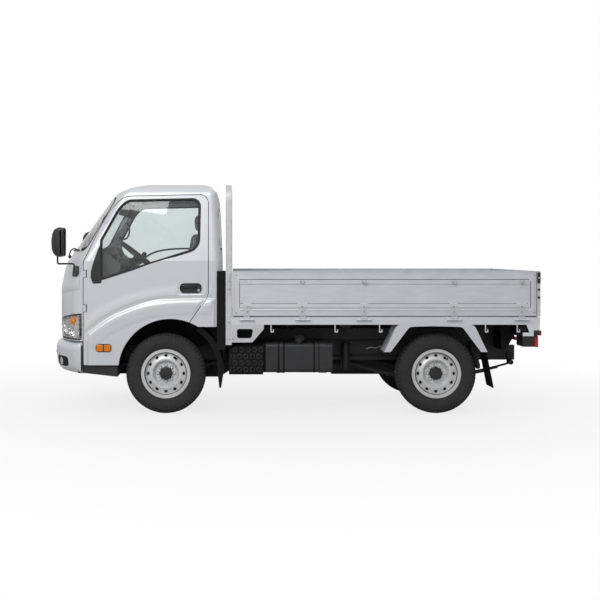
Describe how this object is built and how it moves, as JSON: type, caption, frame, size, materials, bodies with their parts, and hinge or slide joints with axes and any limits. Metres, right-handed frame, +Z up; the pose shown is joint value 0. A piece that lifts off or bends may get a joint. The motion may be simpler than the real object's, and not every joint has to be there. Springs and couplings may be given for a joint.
{
  "type": "drop-side light truck",
  "caption": "Silver cab-over light truck with a flat deck, folding side and tail gates, a guard frame, opening doors and steered front wheels.",
  "frame": {"origin": "on the ground, midway along and across the truck", "axes": "+X to the tail, +Y to the truck's right-hand side, +Z up"},
  "size_m": [4.1904, 2.055, 1.9549],
  "materials": {
    "body_paint": "silver metallic paint",
    "chassis_paint": "satin black paint",
    "cast": "rough casting",
    "spring_steel": "black painted spring steel",
    "exhaust_steel": "dull heated steel",
    "black_plastic": "matt black moulding",
    "grey_plastic": "grained dark grey moulding",
    "seat_fabric": "woven grey cloth",
    "clear_glass": "clear safety glass",
    "lamp_lens": "clear moulded lens",
    "tail_lens": "red moulded lens",
    "deck_floor": "silver painted steel deck",
    "tyre": "black rubber",
    "wheel_paint": "silver painted steel",
    "tank_paint": "satin black paint"
  },
  "bodies": {
    "truck": {"cab_shell": "body_paint", "front_panel": "body_paint", "windscreen": "clear_glass", "rear_window": "clear_glass", "headlamps": "lamp_lens", "front_bumper": "body_paint", "cab_floor": "chassis_paint", "cab_steps": "black_plastic", "arch_liners": "black_plastic", "seats": "seat_fabric", "dashboard": "grey_plastic", "steering_wheel": "black_plastic", "mirrors": "black_plastic", "ladder_frame": "chassis_paint", "front_axle": "cast", "rear_axle": "cast", "leaf_springs": "spring_steel", "propeller_shaft": "chassis_paint", "engine_block": "cast", "fuel_tank": "tank_paint", "battery_box": "black_plastic", "intake_duct": "black_plastic", "exhaust": "exhaust_steel", "deck": "deck_floor", "guard_frame": "body_paint", "rear_fenders": "body_paint", "mud_flaps": "black_plastic", "tail_lamps": "black_plastic"},
    "door_left": {"door_left": "body_paint", "door_glass_left": "clear_glass"},
    "side_gate_left": {"side_gate_left": "body_paint"},
    "knuckle_left": {"knuckle_left": "cast"},
    "wheel_front_left": {"tyre_front_left": "tyre", "rim_front_left": "wheel_paint"},
    "wheel_rear_left": {"tyre_rear_left": "tyre", "rim_rear_left": "wheel_paint"},
    "door_right": {"door_right": "body_paint", "door_glass_right": "clear_glass"},
    "side_gate_right": {"side_gate_right": "body_paint"},
    "knuckle_right": {"knuckle_right": "cast"},
    "wheel_front_right": {"tyre_front_right": "tyre", "rim_front_right": "wheel_paint"},
    "wheel_rear_right": {"tyre_rear_right": "tyre", "rim_rear_right": "wheel_paint"},
    "tail_gate": {"tail_gate": "body_paint"}
  },
  "joints": [
    {"name": "door_left_hinge", "type": "hinge", "parent": "truck", "child": "door_left", "pos_m": [-1.77, -0.821, 0.95], "axis": [0, 0, -1], "range_deg": [0, 70]},
    {"name": "side_gate_left_hinge", "type": "hinge", "parent": "truck", "child": "side_gate_left", "pos_m": [0.754, -0.859, 0.805], "axis": [1, 0, 0], "range_deg": [0, 180]},
    {"name": "steer_left", "type": "hinge", "parent": "truck", "child": "knuckle_left", "pos_m": [-1.093, -0.638, 0.341], "axis": [0, 0, 1], "range_deg": [-30, 30]},
    {"name": "wheel_front_left_spin", "type": "hinge", "parent": "knuckle_left", "child": "wheel_front_left", "pos_m": [-1.093, -0.7, 0.341], "axis": [0, 1, 0], "continuous": true},
    {"name": "wheel_rear_left_spin", "type": "hinge", "parent": "truck", "child": "wheel_rear_left", "pos_m": [1.207, -0.7, 0.341], "axis": [0, 1, 0], "continuous": true},
    {"name": "door_right_hinge", "type": "hinge", "parent": "truck", "child": "door_right", "pos_m": [-1.77, 0.821, 0.95], "axis": [0, 0, 1], "range_deg": [0, 70]},
    {"name": "side_gate_right_hinge", "type": "hinge", "parent": "truck", "child": "side_gate_right", "pos_m": [0.754, 0.859, 0.805], "axis": [-1, 0, 0], "range_deg": [0, 180]},
    {"name": "steer_right", "type": "hinge", "parent": "truck", "child": "knuckle_right", "pos_m": [-1.093, 0.638, 0.341], "axis": [0, 0, 1], "range_deg": [-30, 30]},
    {"name": "wheel_front_right_spin", "type": "hinge", "parent": "knuckle_right", "child": "wheel_front_right", "pos_m": [-1.093, 0.7, 0.341], "axis": [0, 1, 0], "continuous": true},
    {"name": "wheel_rear_right_spin", "type": "hinge", "parent": "truck", "child": "wheel_rear_right", "pos_m": [1.207, 0.7, 0.341], "axis": [0, 1, 0], "continuous": true},
    {"name": "tail_gate_hinge", "type": "hinge", "parent": "truck", "child": "tail_gate", "pos_m": [2.086, 0, 0.805], "axis": [0, 1, 0], "range_deg": [0, 180]}
  ],
  "couplings": [
    {"joint": "steer_right", "follows": "steer_left", "ratio": 1}
  ]
}
